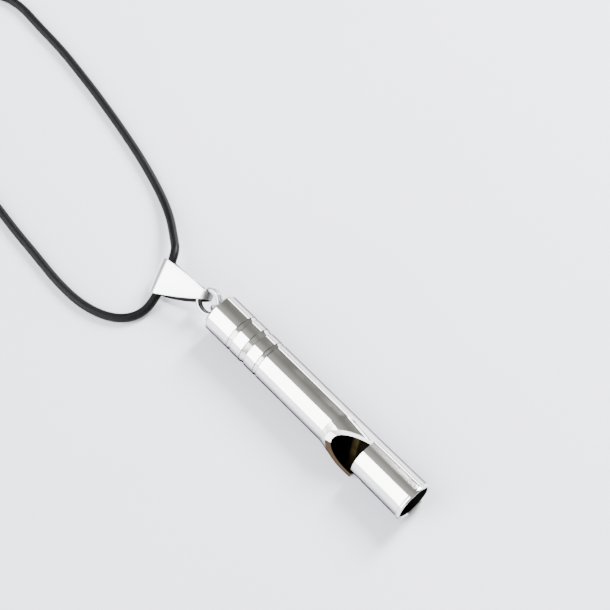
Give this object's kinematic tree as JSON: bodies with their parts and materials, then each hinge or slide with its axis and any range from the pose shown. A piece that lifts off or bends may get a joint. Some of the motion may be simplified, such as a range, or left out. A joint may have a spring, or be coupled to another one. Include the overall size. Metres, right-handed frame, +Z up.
{
  "type": "training whistle",
  "caption": "Steel dog training whistle: grooved tube with a side window and flared mouthpiece, on a split ring, a folded bail and a braided neck cord.",
  "frame": {"origin": "on the table, under the middle of the box round the whistle, its split ring and its bail", "axes": "+X along the whistle from its cap to its mouth, +Z up from the table it lies on"},
  "size_m": [0.1659, 0.0667, 0.0099],
  "materials": {
    "tube_steel": "polished steel",
    "plug_steel": "turned",
    "block_plastic": "smooth",
    "wire_steel": "polished",
    "ring_steel": "polished",
    "bail_steel": "polished",
    "crimp_steel": "polished",
    "clasp_steel": "polished",
    "cord_braid": "fine round braid, slight wax sheen",
    "tie_plastic": "matt"
  },
  "bodies": {
    "cord": {"cord": "cord_braid", "cord_coil": "cord_braid", "coil_tie": "tie_plastic", "cord_tail": "cord_braid", "crimp_end_a": "crimp_steel", "crimp_end_b": "crimp_steel"},
    "bail": {"bail": "bail_steel"},
    "split_ring": {"split_ring": "ring_steel"},
    "whistle": {"whistle_tube": "tube_steel", "end_plug": "plug_steel", "hanging_eye": "wire_steel", "fipple_block": "block_plastic"},
    "jump_ring_a": {"jump_ring_a": "wire_steel"},
    "chain_link_1": {"chain_link_1": "wire_steel"},
    "chain_link_2": {"chain_link_2": "wire_steel"},
    "chain_link_3": {"chain_link_3": "wire_steel"},
    "chain_link_4": {"chain_link_4": "wire_steel"},
    "chain_drop": {"chain_drop": "wire_steel"},
    "jump_ring_b": {"jump_ring_b": "wire_steel"},
    "clasp": {"clasp_body": "clasp_steel", "clasp_rivet": "clasp_steel"},
    "clasp_lever": {"clasp_lever": "clasp_steel"}
  },
  "joints": [
    {"name": "bail_swing", "type": "hinge", "parent": "cord", "child": "bail", "pos_m": [-0.03544, -0.00163, 0.00385], "axis": [0.3368, -0.8425, -0.4203], "range_deg": [0, 50]},
    {"name": "ring_swing", "type": "hinge", "parent": "bail", "child": "split_ring", "pos_m": [-0.02688, 0.00132, 0.0048], "axis": [0, -0.6947, -0.7193], "range_deg": [0, 6]},
    {"name": "whistle_swing", "type": "hinge", "parent": "split_ring", "child": "whistle", "pos_m": [-0.02143, 0.00132, 0.0048], "axis": [0, -0.6947, -0.7193], "range_deg": [0, 18]},
    {"name": "jump_ring_a_swing", "type": "hinge", "parent": "cord", "child": "jump_ring_a", "pos_m": [-0.12184, -0.01012, 0.00138], "axis": [-0.9903, -0.1392, 0], "range_deg": [0, 6]},
    {"name": "chain_link_1_swing", "type": "hinge", "parent": "jump_ring_a", "child": "chain_link_1", "pos_m": [-0.12152, -0.0124, 0.00128], "axis": [-0.9903, -0.1392, 0], "range_deg": [0, 6]},
    {"name": "chain_link_2_swing", "type": "hinge", "parent": "chain_link_1", "child": "chain_link_2", "pos_m": [-0.12124, -0.01438, 0.00128], "axis": [-0.9903, -0.1392, 0], "range_deg": [0, 6]},
    {"name": "chain_link_3_swing", "type": "hinge", "parent": "chain_link_2", "child": "chain_link_3", "pos_m": [-0.12096, -0.01636, 0.00128], "axis": [-0.9903, -0.1392, 0], "range_deg": [0, 6]},
    {"name": "chain_link_4_swing", "type": "hinge", "parent": "chain_link_3", "child": "chain_link_4", "pos_m": [-0.12069, -0.01834, 0.00128], "axis": [-0.9903, -0.1392, 0], "range_deg": [0, 6]},
    {"name": "chain_drop_swing", "type": "hinge", "parent": "chain_link_4", "child": "chain_drop", "pos_m": [-0.12041, -0.02032, 0.00142], "axis": [-0.9903, -0.1392, 0], "range_deg": [0, 6]},
    {"name": "jump_ring_b_swing", "type": "hinge", "parent": "cord", "child": "jump_ring_b", "pos_m": [-0.08076, -0.04068, 0.0015], "axis": [0, 0, 1], "range_deg": [-6, 6]},
    {"name": "clasp_swivel", "type": "hinge", "parent": "jump_ring_b", "child": "clasp", "pos_m": [-0.07776, -0.04068, 0.00112], "axis": [0, 0, 1], "range_deg": [-8, 8]},
    {"name": "clasp_lever_hinge", "type": "hinge", "parent": "clasp", "child": "clasp_lever", "pos_m": [-0.07396, -0.03933, 0.00112], "axis": [0, 0, -1], "range_deg": [0, 16], "stiffness_Nm_per_rad": 0.0002, "springref_deg": -11.46}
  ]
}
